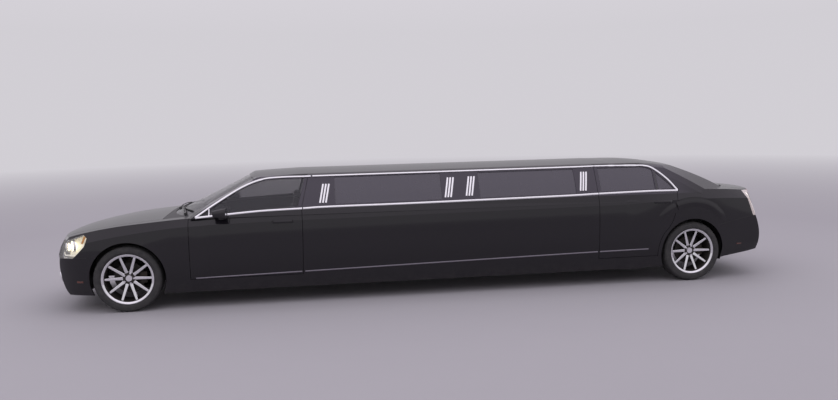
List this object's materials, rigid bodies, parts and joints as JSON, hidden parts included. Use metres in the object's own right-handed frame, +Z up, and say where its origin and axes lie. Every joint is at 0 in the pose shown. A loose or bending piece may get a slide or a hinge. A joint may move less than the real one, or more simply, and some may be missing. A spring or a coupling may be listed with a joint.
{
  "type": "stretch limousine",
  "caption": "Long stretch limousine with hinged doors, hood and boot lid, steered front wheels and a lounge cabin.",
  "frame": {"origin": "on the floor, at the middle of the length and the width", "axes": "-X towards the nose, -Y towards the driver's (left) side, +Z up"},
  "size_m": [8.6011, 2.222, 1.4897],
  "materials": {
    "paint": "gloss black paint",
    "dark_plastic": "matt black",
    "chrome": "polished",
    "clear_glass": "clear",
    "tinted_glass": "dark tint",
    "lamp_lens": "clear lens",
    "tail_lens": "red lens",
    "underbody_steel": "satin black underbody",
    "engine_alloy": "as cast",
    "subframe_iron": "rough cast",
    "tyre": "tread rubber",
    "exhaust_steel": "dull",
    "tank_plastic": "moulded",
    "trim_plastic": "grained",
    "leather": "dark hide",
    "wood": "dark lacquered veneer"
  },
  "bodies": {
    "body": {"side_frame_left": "paint", "side_frame_right": "paint", "tinted_glass": "tinted_glass", "windscreen": "clear_glass", "roof_panel": "paint", "rear_deck": "paint", "cowl": "dark_plastic", "front_fenders": "paint", "front_bumper": "paint", "front_lamps": "lamp_lens", "grille": "chrome", "tail_lamps": "tail_lens", "rear_bumper": "paint", "floor_pan": "underbody_steel", "front_structure": "underbody_steel", "wheelhouse_liners": "dark_plastic", "engine": "engine_alloy", "front_subframe": "subframe_iron", "rear_subframe": "subframe_iron", "propshaft_and_exhaust": "exhaust_steel", "fuel_tank": "tank_plastic", "dashboard": "trim_plastic", "front_seats": "leather", "partition": "trim_plastic", "side_bench": "leather", "bar_cabinet": "wood", "rear_seat": "leather"},
    "hood": {"hood": "paint"},
    "boot_lid": {"boot_lid": "paint"},
    "front_door_left": {"front_door_left": "paint", "front_door_glass_left": "clear_glass", "mirror_left": "paint"},
    "front_door_right": {"front_door_right": "paint", "front_door_glass_right": "clear_glass", "mirror_right": "paint"},
    "rear_door_left": {"rear_door_left": "paint", "rear_door_glass_left": "tinted_glass"},
    "rear_door_right": {"rear_door_right": "paint", "rear_door_glass_right": "tinted_glass"},
    "knuckle_left": {"knuckle_left": "subframe_iron"},
    "knuckle_right": {"knuckle_right": "subframe_iron"},
    "wheel_front_left": {"rim_front_left": "chrome", "tyre_front_left": "tyre"},
    "wheel_front_right": {"rim_front_right": "chrome", "tyre_front_right": "tyre"},
    "wheel_rear_left": {"rim_rear_left": "chrome", "tyre_rear_left": "tyre"},
    "wheel_rear_right": {"rim_rear_right": "chrome", "tyre_rear_right": "tyre"},
    "steering_wheel": {"steering_wheel": "trim_plastic"}
  },
  "joints": [
    {"name": "hood_lift", "type": "hinge", "parent": "body", "child": "hood", "pos_m": [-3.0575, 0, 1.0065], "axis": [0, 1, 0], "range_deg": [0, 50]},
    {"name": "boot_lid_lift", "type": "hinge", "parent": "body", "child": "boot_lid", "pos_m": [3.8355, 0, 1.1275], "axis": [0, -1, 0], "range_deg": [0, 75]},
    {"name": "front_door_left_swing", "type": "hinge", "parent": "body", "child": "front_door_left", "pos_m": [-2.7695, -0.951, 0.6], "axis": [0, 0, -1], "range_deg": [0, 70]},
    {"name": "front_door_right_swing", "type": "hinge", "parent": "body", "child": "front_door_right", "pos_m": [-2.7695, 0.951, 0.6], "axis": [0, 0, 1], "range_deg": [0, 70]},
    {"name": "rear_door_left_swing", "type": "hinge", "parent": "body", "child": "rear_door_left", "pos_m": [1.9675, -0.951, 0.6], "axis": [0, 0, -1], "range_deg": [0, 68]},
    {"name": "rear_door_right_swing", "type": "hinge", "parent": "body", "child": "rear_door_right", "pos_m": [1.9675, 0.951, 0.6], "axis": [0, 0, 1], "range_deg": [0, 68]},
    {"name": "steering_wheel_turn", "type": "hinge", "parent": "body", "child": "steering_wheel", "pos_m": [-2.32, -0.39, 0.895], "axis": [0.9135, 0, 0.4067], "range_deg": [-480, 480]},
    {"name": "steer_left", "type": "hinge", "parent": "body", "child": "knuckle_left", "pos_m": [-3.43, -0.715, 0.364], "axis": [0, 0, 1], "range_deg": [-32, 32]},
    {"name": "steer_right", "type": "hinge", "parent": "body", "child": "knuckle_right", "pos_m": [-3.43, 0.715, 0.364], "axis": [0, 0, 1], "range_deg": [-32, 32]},
    {"name": "roll_front_left", "type": "hinge", "parent": "knuckle_left", "child": "wheel_front_left", "pos_m": [-3.43, -0.805, 0.364], "axis": [0, 1, 0], "continuous": true},
    {"name": "roll_front_right", "type": "hinge", "parent": "knuckle_right", "child": "wheel_front_right", "pos_m": [-3.43, 0.805, 0.364], "axis": [0, 1, 0], "continuous": true},
    {"name": "roll_rear_left", "type": "hinge", "parent": "body", "child": "wheel_rear_left", "pos_m": [3.178, -0.805, 0.364], "axis": [0, 1, 0], "continuous": true},
    {"name": "roll_rear_right", "type": "hinge", "parent": "body", "child": "wheel_rear_right", "pos_m": [3.178, 0.805, 0.364], "axis": [0, 1, 0], "continuous": true}
  ],
  "couplings": [
    {"joint": "steer_left", "follows": "steering_wheel_turn", "ratio": 0.066667},
    {"joint": "steer_right", "follows": "steering_wheel_turn", "ratio": 0.066667}
  ]
}
